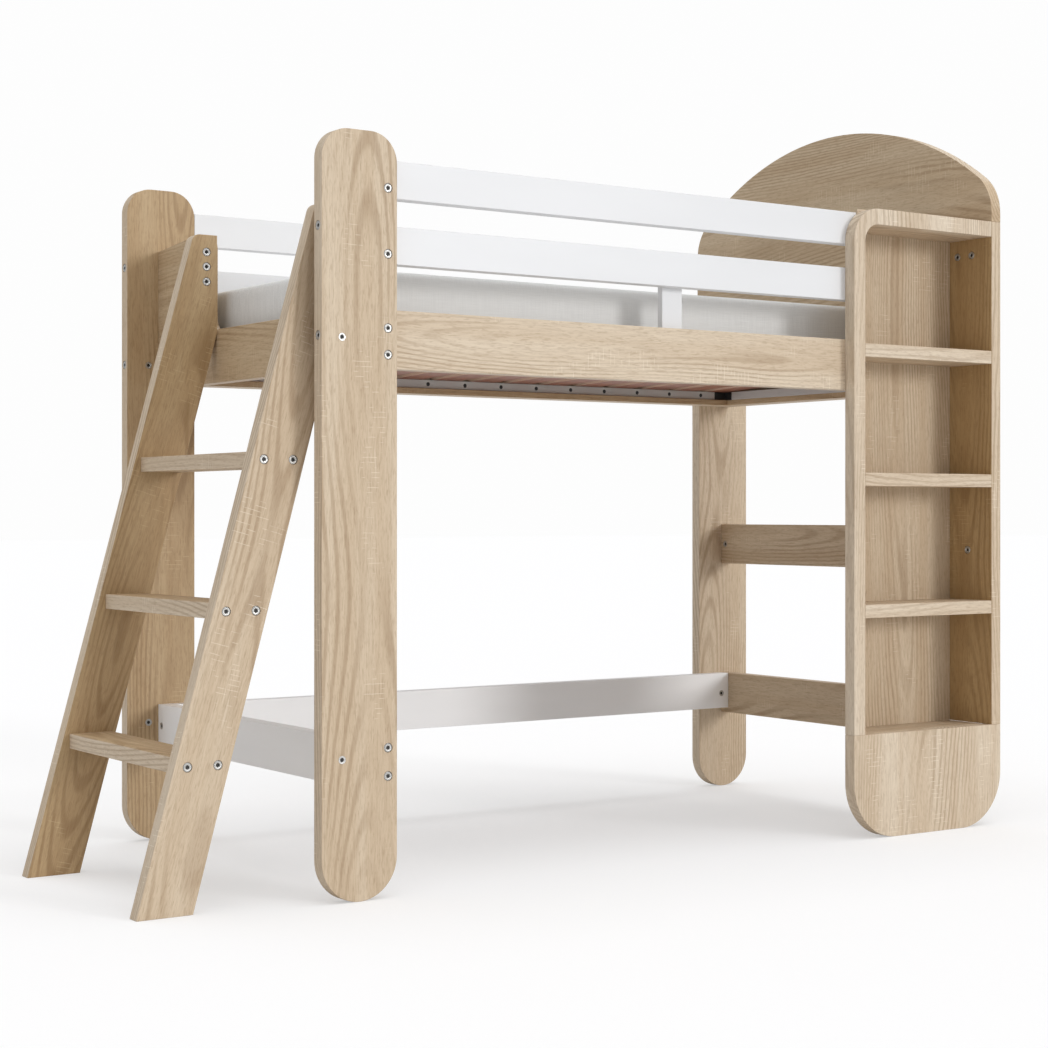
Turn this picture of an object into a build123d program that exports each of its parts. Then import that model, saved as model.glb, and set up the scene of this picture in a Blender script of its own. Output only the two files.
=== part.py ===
from build123d import *
from math import hypot
import os

# A loft bed made of thick boards, with a narrow bookcase tower at its front right
# corner, an arched headboard and a ladder that leans against its left end.
#
# X runs along the bed to the headboard, Y runs to the back and Z is up. The model
# is laid out from the front left corner of the front left post and is moved at the
# end, so that its origin is the middle of the footprint, on the floor.

# Boards
BOARD = 38.0
THIN_PANEL = 12.0
EDGE_RADIUS = 1.5

# Posts
POST_WIDTH = 206.0
POST_HEIGHT = 1835.0
POST_TOP_RADIUS = 72.0
BACK_POST_Y = 1125.0
RIGHT_POST_X = 2060.0

# Bed level
NEAR_BED_RAIL_Z = (1272.0, 1415.0)
FAR_BED_RAIL_Z = (1283.0, 1415.0)
GUARD_RAIL_HEIGHT = 92.0
LOWER_GUARD_Z = 1526.0
UPPER_GUARD_Z = 1685.0
FOOT_BOARD_X = 94.0
RAIL_START_X = FOOT_BOARD_X + BOARD
RIGHT_RAILS_X = 2155.0
FOOT_BOARD_STEP_Y = 822.0
FOOT_BOARD_TOP_Z = (1684.0, 1661.0)
FOOT_BOARD_TOP_RADIUS = 45.0
FOOT_BOARD_STEP_RADIUS = 40.0
UPRIGHT_X = (1075.0, 1143.0)
UPRIGHT_Z = (1330.0, 1600.0)
UPRIGHT_THICKNESS = 20.0

# Rails near the floor and at half height
LOW_RAIL_Z = (268.0, 384.0)
LOW_RAIL_RIGHT_Z = (251.0, 384.0)
MID_RAIL_RIGHT_Z = (753.0, 885.0)

# Bookcase tower
TOWER_X = (1702.0, 2294.0)
TOWER_DEPTH = 180.0
TOWER_TOP_Z = 1788.0
BASE_HEIGHT = 296.0
BASE_CORNER_RADIUS = 160.0
STILE_WIDTH = 43.0
TOP_MEMBER_HEIGHT = 45.0
FRAME_OUTER_RADIUS = 95.0
FRAME_INNER_RADIUS = 52.0
SHELF_TOPS_Z = {"lower": 664.0, "middle": 1038.0, "upper": 1404.0}
SLANTED_SIDE_GAP = 2.0
SLANTED_SIDE_RUN = 120.0

# Headboard
HEADBOARD_DEPTH = 1376.0
HEADBOARD_TOP_Z = 2142.0
HEADBOARD_ARC_RADIUS = 1045.0
HEADBOARD_CORNER_RADIUS = 143.0

# Ladder
LADDER_FOOT_X = -434.5
LADDER_LEAN = 0.276
STRINGER_WIDTH = 141.0
STRINGER_TOP_Z = 1665.0
STRINGER_TOP_RADIUS = 25.0
STRINGER_FRONT_Y = 76.0
STRINGER_BACK_Y = 748.0
TREADS_Z = (340.0, 695.0, 1050.0)
TREAD_INSET = 19.0
TREAD_DEPTH = 114.0

# Slatted base and mattress
LEDGER_Z = (1283.0, 1301.0)
MATTRESS_Y = (184.0, 1084.0)
BASE_X = (155.0, 2140.0)
TUBE_WIDTH = 25.0
TUBE_HEIGHT = 26.0
TUBE_WALL = 1.5
CORNER_LEG_X = 68.0
CORNER_LEG_Y = 60.0
SLAT_COUNT = 15
SLAT_PITCH = 133.0
SLAT_WIDTH = 90.0
SLAT_THICKNESS = 8.0
SLAT_CROWN = 10.0
SLAT_END_INSET = 6.0
TUBE_HOLE_DIAMETER = 9.0
MATTRESS_LENGTH = 2000.0
MATTRESS_TOP_Z = 1527.0
MATTRESS_CORNER_RADIUS = 45.0
MATTRESS_EDGE_RADIUS = 22.0

# Fasteners
BOLT_HEAD_DIAMETER = 22.0
BOLT_HEAD_HEIGHT = 3.0
BOLT_HEAD_CHAMFER = 0.8
BOLT_RECESS_GAP = 1.0
BOLT_SHANK_DIAMETER = 7.0
BOLT_LENGTH = 32.0
SOCKET_RADIUS = 5.2
SOCKET_DEPTH = 2.4
BARREL_DIAMETER = 20.0
BARREL_LENGTH = 28.0
BARREL_CHAMFER = 0.6
TREAD_BOLT_INSETS = (33.0, 110.0)
NUT_SETBACK = 30.0

# Positions worked out from the driving dimensions
RAIL_Y = BOARD
INNER_BACK_Y = BACK_POST_Y - BOARD
HEAD_X = TOWER_X[1] - BOARD
STILE_INNER_X = TOWER_X[0] + STILE_WIDTH
TOP_MEMBER_Z = TOWER_TOP_Z - TOP_MEMBER_HEIGHT
SHELF_BACK_Y = TOWER_DEPTH - THIN_PANEL
SLANT_FRONT_X = STILE_INNER_X + SLANTED_SIDE_GAP
SLANT_LENGTH = hypot(SLANTED_SIDE_RUN, SHELF_BACK_Y - BOARD)
SLANT_THICKNESS_X = THIN_PANEL * SLANT_LENGTH / (SHELF_BACK_Y - BOARD)
SLANT_BACK_X = SLANT_FRONT_X + SLANTED_SIDE_RUN
TUBE_Z = (LEDGER_Z[1], LEDGER_Z[1] + TUBE_HEIGHT)
MATTRESS_BOTTOM_Z = TUBE_Z[1] + SLAT_CROWN + SLAT_THICKNESS
BASE_MIDDLE_X = (BASE_X[0] + BASE_X[1]) / 2
TO_ORIGIN = Pos(-(LADDER_FOOT_X + TOWER_X[1]) / 2, -HEADBOARD_DEPTH / 2, 0)

FACINGS = {
    "front": (0, -1, 0),
    "back": (0, 1, 0),
    "left": (-1, 0, 0),
    "below": (0, 0, -1),
}


def block(x, y, z):
    """A plain block between pairs of low and high limits."""
    limits = (x, y, z)
    middle = [(low + high) / 2 for low, high in limits]
    return Pos(*middle) * Box(*[high - low for low, high in limits])


def soften(solid, radius=EDGE_RADIUS):
    """Round every edge of a solid a little."""
    return fillet(solid.edges(), radius)


def board(x, y, z):
    """A square-cut board with softened edges."""
    return soften(block(x, y, z))


def round_corner(outline, point, radius):
    """Round the corner of an outline that is nearest to a point."""
    corner = outline.vertices().sort_by_distance(Vector(*point, 0))[0]
    return fillet(corner, radius)


def upright_board(outline, front_y, thickness=BOARD):
    """A board from an outline drawn in X and Z, standing in the XZ plane."""
    back = Plane.XZ.offset(-(front_y + thickness))
    return soften(extrude(back * outline, amount=thickness))


def crosswise_board(outline, left_x):
    """A board from an outline drawn in Y and Z, standing in the YZ plane."""
    return soften(extrude(Plane.YZ.offset(left_x) * outline, amount=BOARD))


def flat_board(corners, z):
    """A board lying flat, from its corners in X and Y."""
    outline = Polygon(*corners, align=None)
    return soften(extrude(Plane.XY.offset(z[0]) * outline, amount=z[1] - z[0]))


# Posts: flat boards with a half-round foot


def post(left_x, front_y, height, top_radius):
    foot = POST_WIDTH / 2
    middle_x = left_x + foot
    stem = Pos(middle_x, (foot + height) / 2) * Rectangle(POST_WIDTH, height - foot)
    if top_radius:
        stem = fillet(stem.vertices().group_by(Axis.Y)[-1], top_radius)
    return upright_board(stem + Pos(middle_x, foot) * Circle(foot), front_y)


def posts():
    return {
        "post_front_left": post(0, 0, POST_HEIGHT, POST_TOP_RADIUS),
        "post_back_left": post(0, BACK_POST_Y, POST_HEIGHT, POST_TOP_RADIUS),
        "post_back_right": post(RIGHT_POST_X, BACK_POST_Y, LOWER_GUARD_Z, 0),
    }


# Rails around the bed level


def guard_rails():
    front_x = (RAIL_START_X, STILE_INNER_X)
    back_x = (POST_WIDTH, HEAD_X)
    rows = {
        "front": (front_x, (RAIL_Y, RAIL_Y + BOARD)),
        "back": (back_x, (BACK_POST_Y, BACK_POST_Y + BOARD)),
    }
    heights = {"lower": LOWER_GUARD_Z, "upper": UPPER_GUARD_Z}
    rails = {}
    for side, (x, y) in rows.items():
        for level, bottom in heights.items():
            z = (bottom, bottom + GUARD_RAIL_HEIGHT)
            rails[f"guard_rail_{side}_{level}"] = board(x, y, z)
    upright_y = (RAIL_Y + BOARD, RAIL_Y + BOARD + UPRIGHT_THICKNESS)
    rails["guard_rail_upright"] = board(UPRIGHT_X, upright_y, UPRIGHT_Z)
    return rails


def foot_end_board():
    """The left end board, raised behind the ladder entry."""
    low_z, entry_z = NEAR_BED_RAIL_Z
    outline = Polygon(
        (RAIL_Y, low_z),
        (BACK_POST_Y, low_z),
        (BACK_POST_Y, FOOT_BOARD_TOP_Z[1]),
        (FOOT_BOARD_STEP_Y, FOOT_BOARD_TOP_Z[0]),
        (FOOT_BOARD_STEP_Y, entry_z),
        (RAIL_Y, entry_z),
        align=None,
    )
    step = (FOOT_BOARD_STEP_Y, entry_z)
    top = (FOOT_BOARD_STEP_Y, FOOT_BOARD_TOP_Z[0])
    outline = round_corner(outline, step, FOOT_BOARD_STEP_RADIUS)
    outline = round_corner(outline, top, FOOT_BOARD_TOP_RADIUS)
    return crosswise_board(outline, FOOT_BOARD_X)


def bed_rails():
    right_x = (RIGHT_RAILS_X, RIGHT_RAILS_X + BOARD)
    end_y = (TOWER_DEPTH, BACK_POST_Y)
    front_y = (RAIL_Y, RAIL_Y + BOARD)
    back_y = (INNER_BACK_Y, BACK_POST_Y)
    long_x = (RAIL_START_X, RIGHT_RAILS_X)
    left_x = (FOOT_BOARD_X, RAIL_START_X)
    return {
        "side_rail_front": board((RAIL_START_X, STILE_INNER_X), front_y, NEAR_BED_RAIL_Z),
        "side_rail_back": board(long_x, back_y, FAR_BED_RAIL_Z),
        "end_rail_right": board(right_x, end_y, FAR_BED_RAIL_Z),
        "foot_end_board": foot_end_board(),
        "low_rail_back": board(long_x, back_y, LOW_RAIL_Z),
        "low_rail_left": board(left_x, (RAIL_Y, BACK_POST_Y), LOW_RAIL_Z),
        "low_rail_right": board(right_x, end_y, LOW_RAIL_RIGHT_Z),
        "mid_rail_right": board(right_x, end_y, MID_RAIL_RIGHT_Z),
    }


# Bookcase tower: its left side is a thin slanted panel behind the stile


def bookcase_front_frame():
    outline = Polygon(
        (TOWER_X[0], BASE_HEIGHT),
        (STILE_INNER_X, BASE_HEIGHT),
        (STILE_INNER_X, TOP_MEMBER_Z),
        (HEAD_X, TOP_MEMBER_Z),
        (HEAD_X, TOWER_TOP_Z),
        (TOWER_X[0], TOWER_TOP_Z),
        align=None,
    )
    outline = round_corner(outline, (TOWER_X[0], TOWER_TOP_Z), FRAME_OUTER_RADIUS)
    outline = round_corner(outline, (STILE_INNER_X, TOP_MEMBER_Z), FRAME_INNER_RADIUS)
    return upright_board(outline, 0)


def bookcase_base_panel():
    width = TOWER_X[1] - TOWER_X[0]
    middle_x = (TOWER_X[0] + TOWER_X[1]) / 2
    outline = Pos(middle_x, BASE_HEIGHT / 2) * Rectangle(width, BASE_HEIGHT)
    lower = outline.vertices().group_by(Axis.Y)[0]
    return upright_board(fillet(lower, BASE_CORNER_RADIUS), 0)


def shelf_corners():
    """Corners of a full shelf, flush with the front of the stile."""
    return [
        (STILE_INNER_X, 0),
        (HEAD_X, 0),
        (HEAD_X, SHELF_BACK_Y),
        (SLANT_BACK_X + SLANT_THICKNESS_X, SHELF_BACK_Y),
        (SLANT_FRONT_X + SLANT_THICKNESS_X, BOARD),
        (STILE_INNER_X, BOARD),
    ]


def bookcase_slanted_side(bottom_z):
    corners = [
        (SLANT_FRONT_X, BOARD),
        (SLANT_FRONT_X + SLANT_THICKNESS_X, BOARD),
        (SLANT_BACK_X + SLANT_THICKNESS_X, SHELF_BACK_Y),
        (SLANT_BACK_X, SHELF_BACK_Y),
    ]
    return flat_board(corners, (bottom_z, TOP_MEMBER_Z))


def bookcase():
    floor_z = (BASE_HEIGHT - BOARD, BASE_HEIGHT)
    floor_corners = [
        (SLANT_FRONT_X + SLANT_THICKNESS_X, BOARD),
        (HEAD_X, BOARD),
        (HEAD_X, SHELF_BACK_Y),
        (SLANT_BACK_X + SLANT_THICKNESS_X, SHELF_BACK_Y),
    ]
    top_corners = [
        (SLANT_FRONT_X, BOARD),
        (HEAD_X, BOARD),
        (HEAD_X, SHELF_BACK_Y),
        (SLANT_BACK_X, SHELF_BACK_Y),
    ]
    panel_y = (SHELF_BACK_Y, TOWER_DEPTH)
    tower = {
        "bookcase_front_frame": bookcase_front_frame(),
        "bookcase_base_panel": bookcase_base_panel(),
        "bookcase_side_board": board(
            (HEAD_X, TOWER_X[1]), (0, TOWER_DEPTH), (BASE_HEIGHT, TOWER_TOP_Z)
        ),
        "bookcase_slanted_side": bookcase_slanted_side(floor_z[0]),
        "bookcase_back_panel": board((SLANT_BACK_X, HEAD_X), panel_y, (floor_z[0], TOWER_TOP_Z)),
        "bookcase_bottom_shelf": flat_board(floor_corners, floor_z),
        "bookcase_top_board": flat_board(top_corners, (TOP_MEMBER_Z, TOWER_TOP_Z)),
    }
    for level, top in SHELF_TOPS_Z.items():
        tower[f"bookcase_shelf_{level}"] = flat_board(shelf_corners(), (top - BOARD, top))
    return tower


# Headboard: one arched board above the tower's side board and the end rail


def headboard_arch():
    middle_y = HEADBOARD_DEPTH / 2
    height = HEADBOARD_TOP_Z - LOWER_GUARD_Z
    outline = Pos(middle_y, LOWER_GUARD_Z + height / 2) * Rectangle(HEADBOARD_DEPTH, height)
    disc = Circle(HEADBOARD_ARC_RADIUS)
    outline = outline & Pos(middle_y, HEADBOARD_TOP_Z - HEADBOARD_ARC_RADIUS) * disc
    for side_y in (0, HEADBOARD_DEPTH):
        shoulder = (side_y, HEADBOARD_TOP_Z - HEADBOARD_DEPTH / 5)
        outline = round_corner(outline, shoulder, HEADBOARD_CORNER_RADIUS)
    notch_height = TOWER_TOP_Z - LOWER_GUARD_Z
    notch_middle = Pos(TOWER_DEPTH / 2, LOWER_GUARD_Z + notch_height / 2)
    outline = outline - notch_middle * Rectangle(TOWER_DEPTH, notch_height)
    return crosswise_board(outline, HEAD_X)


# Ladder: two leaning stringers that meet the foot end board, and three treads


def stringer_left_x(z):
    return LADDER_FOOT_X + LADDER_LEAN * z


def stringer(front_y):
    meeting_z = (FOOT_BOARD_X - LADDER_FOOT_X - STRINGER_WIDTH) / LADDER_LEAN
    top_left = (stringer_left_x(STRINGER_TOP_Z), STRINGER_TOP_Z)
    outline = Polygon(
        (LADDER_FOOT_X, 0),
        (LADDER_FOOT_X + STRINGER_WIDTH, 0),
        (FOOT_BOARD_X, meeting_z),
        (FOOT_BOARD_X, STRINGER_TOP_Z),
        top_left,
        align=None,
    )
    outline = round_corner(outline, top_left, STRINGER_TOP_RADIUS)
    return upright_board(outline, front_y)


def tread(middle_z):
    left = stringer_left_x(middle_z) + TREAD_INSET
    y = (STRINGER_FRONT_Y + BOARD, STRINGER_BACK_Y)
    return board((left, left + TREAD_DEPTH), y, (middle_z - BOARD / 2, middle_z + BOARD / 2))


def ladder():
    pieces = {
        "ladder_stringer_front": stringer(STRINGER_FRONT_Y),
        "ladder_stringer_back": stringer(STRINGER_BACK_Y),
    }
    for number, middle_z in enumerate(TREADS_Z, start=1):
        pieces[f"ladder_tread_{number}"] = tread(middle_z)
    return pieces


# Slatted base: wooden ledgers carry a tube frame, and the slats lie across it


def ledgers():
    long_x = (RAIL_START_X, RIGHT_RAILS_X)
    front_y = (MATTRESS_Y[0], MATTRESS_Y[0] + BOARD)
    back_y = (INNER_BACK_Y - BOARD, INNER_BACK_Y)
    between_y = (front_y[1], back_y[0])
    return {
        "ledger_front": board(long_x, front_y, LEDGER_Z),
        "ledger_back": board(long_x, back_y, LEDGER_Z),
        "ledger_left": board((RAIL_START_X, RAIL_START_X + BOARD), between_y, LEDGER_Z),
        "ledger_right": board((RIGHT_RAILS_X - BOARD, RIGHT_RAILS_X), between_y, LEDGER_Z),
    }


def slat_middles_x():
    first = BASE_MIDDLE_X - SLAT_PITCH * (SLAT_COUNT - 1) / 2
    return [first + SLAT_PITCH * number for number in range(SLAT_COUNT)]


def long_tube(y):
    """A long tube of the base, with a row of holes through both its walls."""
    x = (BASE_X[0] + CORNER_LEG_X, BASE_X[1] - CORNER_LEG_X)
    wall = TUBE_WALL
    outer = board(x, y, TUBE_Z)
    tube = outer - block(x, (y[0] + wall, y[1] - wall), (TUBE_Z[0] + wall, TUBE_Z[1] - wall))
    middle_z = (TUBE_Z[0] + TUBE_Z[1]) / 2
    for slat_x in slat_middles_x()[1:]:
        hole = Rot(90, 0, 0) * Cylinder(TUBE_HOLE_DIAMETER / 2, 2 * TUBE_WIDTH)
        tube -= Pos(slat_x - SLAT_PITCH / 2, y[0], middle_z) * hole
    return tube


def end_tube(x):
    y = (MATTRESS_Y[0] + CORNER_LEG_Y, MATTRESS_Y[1] - CORNER_LEG_Y)
    wall = TUBE_WALL
    hollow = block((x[0] + wall, x[1] - wall), y, (TUBE_Z[0] + wall, TUBE_Z[1] - wall))
    return board(x, y, TUBE_Z) - hollow


def base_corner(end_x, side_y, to_right, to_back):
    """One L-shaped corner block; its legs point along the two tubes it joins."""
    far_x = end_x + to_right * CORNER_LEG_X
    far_y = side_y + to_back * CORNER_LEG_Y
    near_x = end_x + to_right * TUBE_WIDTH
    near_y = side_y + to_back * TUBE_WIDTH
    along_x = block(sorted((end_x, far_x)), sorted((side_y, near_y)), TUBE_Z)
    along_y = block(sorted((end_x, near_x)), sorted((side_y, far_y)), TUBE_Z)
    return soften(along_x + along_y)


def slat(middle_x):
    """A sprung slat with flat ends on the tubes, crowned between them."""
    ends = (MATTRESS_Y[0] + SLAT_END_INSET, MATTRESS_Y[1] - SLAT_END_INSET)
    bends = (MATTRESS_Y[0] + TUBE_WIDTH, MATTRESS_Y[1] - TUBE_WIDTH)
    middle_y = (ends[0] + ends[1]) / 2
    low = TUBE_Z[1]
    high = low + SLAT_THICKNESS
    outline = Curve() + [
        Line((ends[0], low), (bends[0], low)),
        ThreePointArc((bends[0], low), (middle_y, low + SLAT_CROWN), (bends[1], low)),
        Line((bends[1], low), (ends[1], low)),
        Line((ends[1], low), (ends[1], high)),
        Line((ends[1], high), (bends[1], high)),
        ThreePointArc((bends[1], high), (middle_y, high + SLAT_CROWN), (bends[0], high)),
        Line((bends[0], high), (ends[0], high)),
        Line((ends[0], high), (ends[0], low)),
    ]
    face = Plane.YZ.offset(middle_x - SLAT_WIDTH / 2) * make_face(outline)
    return extrude(face, amount=SLAT_WIDTH)


def slatted_base():
    front_y, back_y = MATTRESS_Y
    left_x, right_x = BASE_X
    corners = [
        base_corner(left_x, front_y, 1, 1),
        base_corner(left_x, back_y, 1, -1),
        base_corner(right_x, front_y, -1, 1),
        base_corner(right_x, back_y, -1, -1),
    ]
    pieces = {
        "base_tube_front": long_tube((front_y, front_y + TUBE_WIDTH)),
        "base_tube_back": long_tube((back_y - TUBE_WIDTH, back_y)),
        "base_tube_left": end_tube((left_x, left_x + TUBE_WIDTH)),
        "base_tube_right": end_tube((right_x - TUBE_WIDTH, right_x)),
        "base_corners": Compound(corners),
    }
    for number, middle_x in enumerate(slat_middles_x(), start=1):
        pieces[f"slat_{number:02d}"] = slat(middle_x)
    return pieces


def mattress():
    left = BASE_MIDDLE_X - MATTRESS_LENGTH / 2
    z = (MATTRESS_BOTTOM_Z, MATTRESS_TOP_Z)
    pad = block((left, left + MATTRESS_LENGTH), MATTRESS_Y, z)
    pad = fillet(pad.edges().filter_by(Axis.Z), MATTRESS_CORNER_RADIUS)
    rims = pad.edges().group_by(Axis.Z)
    return fillet(rims[0] + rims[-1], MATTRESS_EDGE_RADIUS)


# Fasteners: each is drawn around Z with its visible end at the origin, then it is
# stood on a face of a board, and the board gets a bore for it


def pin(diameter, length, chamfer_size=0):
    """A round pin that hangs below the origin, with its top edge chamfered."""
    body = Pos(0, 0, -length / 2) * Cylinder(diameter / 2, length)
    if chamfer_size:
        body = chamfer(body.edges().group_by(Axis.Z)[-1], chamfer_size)
    return body


def bolt_bore():
    """The bore of a bolt: a recess a little wider than the head, and a close shank hole."""
    recess = pin(BOLT_HEAD_DIAMETER + 2 * BOLT_RECESS_GAP, BOLT_HEAD_HEIGHT)
    return recess + pin(BOLT_SHANK_DIAMETER, BOLT_LENGTH)


def socket():
    return extrude(RegularPolygon(SOCKET_RADIUS, 6), amount=-SOCKET_DEPTH)


def bolt():
    head = pin(BOLT_HEAD_DIAMETER, BOLT_HEAD_HEIGHT, BOLT_HEAD_CHAMFER)
    return head + pin(BOLT_SHANK_DIAMETER, BOLT_LENGTH) - socket()


def barrel_nut():
    return pin(BARREL_DIAMETER, BARREL_LENGTH, BARREL_CHAMFER) - socket()


def bolt_places():
    """Points and facings of the bolt heads, by the board that they are sunk in."""
    half = BOARD / 2
    front_post = [((181, 0, z), "front") for z in (1703, 1545, 1367, 1303, 361, 293)]
    front_post += [((0, half, z), "left") for z in (1602, 1343)]
    back_post = [((0, BACK_POST_Y + half, z), "left") for z in (1611, 1339)]
    front_stringer = []
    back_stringer = [((63, STRINGER_BACK_Y, z), "front") for z in (1619, 1580, 1540)]
    for z in TREADS_Z:
        for inset in TREAD_BOLT_INSETS:
            x = stringer_left_x(z) + inset
            front_stringer.append(((x, STRINGER_FRONT_Y, z), "front"))
            back_stringer.append(((x, STRINGER_BACK_Y + BOARD, z), "back"))
    side_board = [((HEAD_X, y, z), "left") for y, z in ((138, 1696), (81, 1696), (97, 813))]
    return {
        "post_front_left": front_post,
        "post_back_left": back_post,
        "ladder_stringer_front": front_stringer,
        "ladder_stringer_back": back_stringer,
        "bookcase_side_board": side_board,
    }


def barrel_places():
    """Points and facings of the barrel nuts, by the board that they are sunk in."""
    places = {
        "post_front_left": [((55, 0, z), "front") for z in (1340, 340)],
        "post_back_left": [((65, BACK_POST_Y, z), "front") for z in (1339, 334)],
        "low_rail_back": [((2125, INNER_BACK_Y, 317), "front")],
        "low_rail_left": [((FOOT_BOARD_X, 1104, 324), "left")],
        "mid_rail_right": [((RIGHT_RAILS_X, 1104, 819), "left")],
    }
    ends_y = (STRINGER_FRONT_Y + BOARD + NUT_SETBACK, STRINGER_BACK_Y - NUT_SETBACK)
    for number, middle_z in enumerate(TREADS_Z, start=1):
        left = stringer_left_x(middle_z)
        under_z = middle_z - BOARD / 2
        spots = [(left + inset, y, under_z) for inset in TREAD_BOLT_INSETS for y in ends_y]
        places[f"ladder_tread_{number}"] = [(spot, "below") for spot in spots]
    return places


def sink(nodes, places, bore, fastener):
    """Bore the boards at each place and return the fasteners that sit in the bores."""
    fasteners = []
    for name, spots in places.items():
        for point, facing in spots:
            seat = Plane(origin=point, z_dir=FACINGS[facing])
            nodes[name] -= seat * bore
            fasteners.append(seat * fastener)
    return Compound(fasteners)


def build():
    nodes = {}
    for group in (posts(), guard_rails(), bed_rails(), bookcase(), ladder()):
        nodes.update(group)
    nodes["headboard_arch"] = headboard_arch()
    nodes.update(ledgers())
    nodes.update(slatted_base())
    nodes["mattress"] = mattress()
    barrel_bore = pin(BARREL_DIAMETER, BARREL_LENGTH)
    nodes["connector_bolts"] = sink(nodes, bolt_places(), bolt_bore(), bolt())
    nodes["barrel_nuts"] = sink(nodes, barrel_places(), barrel_bore, barrel_nut())
    return nodes


os.makedirs("parts", exist_ok=True)
for name, shape in build().items():
    export_step(TO_ORIGIN * shape, f"parts/{name}.step")
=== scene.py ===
"""Looks for a loft bed with a bookcase tower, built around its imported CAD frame."""

from math import pi, radians
from random import Random

import bmesh
import bpy
from bpy.props import FloatProperty, FloatVectorProperty, IntProperty, PointerProperty
from mathutils import Matrix, Vector


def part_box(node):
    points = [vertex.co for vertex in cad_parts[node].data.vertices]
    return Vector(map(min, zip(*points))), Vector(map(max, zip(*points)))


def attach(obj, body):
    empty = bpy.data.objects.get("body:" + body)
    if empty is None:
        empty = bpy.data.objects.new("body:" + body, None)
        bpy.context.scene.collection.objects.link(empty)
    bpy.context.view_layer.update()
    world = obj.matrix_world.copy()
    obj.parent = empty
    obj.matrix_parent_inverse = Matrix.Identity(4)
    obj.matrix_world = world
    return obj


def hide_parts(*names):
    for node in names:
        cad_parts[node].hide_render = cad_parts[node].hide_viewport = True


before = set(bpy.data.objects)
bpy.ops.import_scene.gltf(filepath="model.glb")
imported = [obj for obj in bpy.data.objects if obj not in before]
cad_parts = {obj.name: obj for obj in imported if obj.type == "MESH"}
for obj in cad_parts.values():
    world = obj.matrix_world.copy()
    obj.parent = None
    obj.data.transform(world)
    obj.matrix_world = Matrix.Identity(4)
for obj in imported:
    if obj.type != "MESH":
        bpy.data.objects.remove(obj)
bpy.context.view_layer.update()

bl_info = {
    "name": "Loft Bed",
    "version": (1, 0, 0),
    "blender": (4, 5, 0),
    "location": "View3D > Sidebar > Loft Bed",
    "description": "Materials, mattress and studio for a loft bed with a bookcase tower",
    "category": "Object",
}

X = Vector((1, 0, 0))
Y = Vector((0, 1, 0))
Z = Vector((0, 0, 1))

# Angle of a sharp edge, distance at which points merge, and rise that still counts as level
SHARP_ANGLE = radians(35)
MERGE_DISTANCE = 0.00002
LEVEL_RISE = 1e-6

# The ladder's stringers lean by this much of X for each metre of Z
LADDER_LEAN = 0.276
STRINGER = Vector((LADDER_LEAN, 0, 1)).normalized()

# Grain direction and width direction of each oak board
OAK_BOARDS = {
    "post_front_left": (Z, X),
    "post_back_left": (Z, X),
    "post_back_right": (Z, X),
    "bookcase_front_frame": (Z, X),
    "bookcase_base_panel": (Z, X),
    "bookcase_side_board": (Z, Y),
    "bookcase_slanted_side": (Z, Y),
    "bookcase_back_panel": (Z, X),
    "bookcase_bottom_shelf": (X, Y),
    "bookcase_top_board": (X, Y),
    "bookcase_shelf_lower": (X, Y),
    "bookcase_shelf_middle": (X, Y),
    "bookcase_shelf_upper": (X, Y),
    "headboard_arch": (Y, Z),
    "side_rail_front": (X, Z),
    "side_rail_back": (X, Z),
    "end_rail_right": (Y, Z),
    "mid_rail_right": (Y, Z),
    "low_rail_right": (Y, Z),
    "foot_end_board": (Y, Z),
    "ladder_stringer_front": (STRINGER, Y.cross(STRINGER)),
    "ladder_stringer_back": (STRINGER, Y.cross(STRINGER)),
    "ladder_tread_1": (Y, X),
    "ladder_tread_2": (Y, X),
    "ladder_tread_3": (Y, X),
    "ledger_front": (X, Z),
    "ledger_back": (X, Z),
    "ledger_left": (Y, Z),
    "ledger_right": (Y, Z),
}

# Share of a board's painted shade that its edge faces are spared
EDGE_SHADE_RELIEF = 0.8

# Painted shade on each board, which darkens and reddens the boards that stand in shade, from 0,
# none, to 1, the most; the others have the usual amount
USUAL_PAINTED_SHADE = 0.25
OAK_PAINTED_SHADE = {
    "bookcase_front_frame": 0.0,
    "bookcase_base_panel": 0.1,
    "side_rail_front": 0.12,
    "bookcase_back_panel": 0.35,
    "post_back_left": 0.75,
    "ladder_stringer_back": 0.85,
    "bookcase_side_board": 0.95,
    "bookcase_slanted_side": 0.6,
    "ladder_tread_1": 0.7,
    "ladder_tread_2": 0.7,
    "ladder_tread_3": 0.7,
    "foot_end_board": 0.6,
    "headboard_arch": 0.45,
    "mid_rail_right": 0.45,
    "low_rail_right": 0.45,
    "ledger_front": 0.7,
    "ledger_back": 0.7,
    "ledger_left": 0.7,
    "ledger_right": 0.7,
}

# Outlines of turned parts: radius and height, from the outer face to the buried end
BOLT_PROFILE = (
    (0.0052, -0.0010), (0.0060, -0.0001), (0.0080, 0.0), (0.0085, -0.0009), (0.0091, -0.0009),
    (0.0096, -0.0001), (0.0105, -0.0004), (0.0110, -0.0010), (0.0110, -0.0030),
    (0.0035, -0.0030), (0.0035, -0.0320), (0.0, -0.0320),
)
NUT_PROFILE = (
    (0.0052, -0.0010), (0.0060, -0.0001), (0.0094, 0.0), (0.0100, -0.0006), (0.0100, -0.0280),
    (0.0, -0.0280),
)
PLUG_PROFILE = (
    (0.0, 0.0016), (0.0032, 0.0014), (0.0056, 0.0008), (0.0062, 0.0), (0.0040, 0.0),
    (0.0036, -0.0060), (0.0, -0.0066),
)
TURNING_STEPS = 24

# Hexagon sockets: radius, depth, and how far the mouth lies below the outline's first point
SOCKET_RADIUS = 0.0050
SOCKET_DEPTH = 0.0016
SOCKET_LEAD = 0.0002

# Distance from one dark ply to the next, and from one yarn to the next
PLY_PITCH = 0.0016
YARN_PITCH = 0.0022

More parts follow.
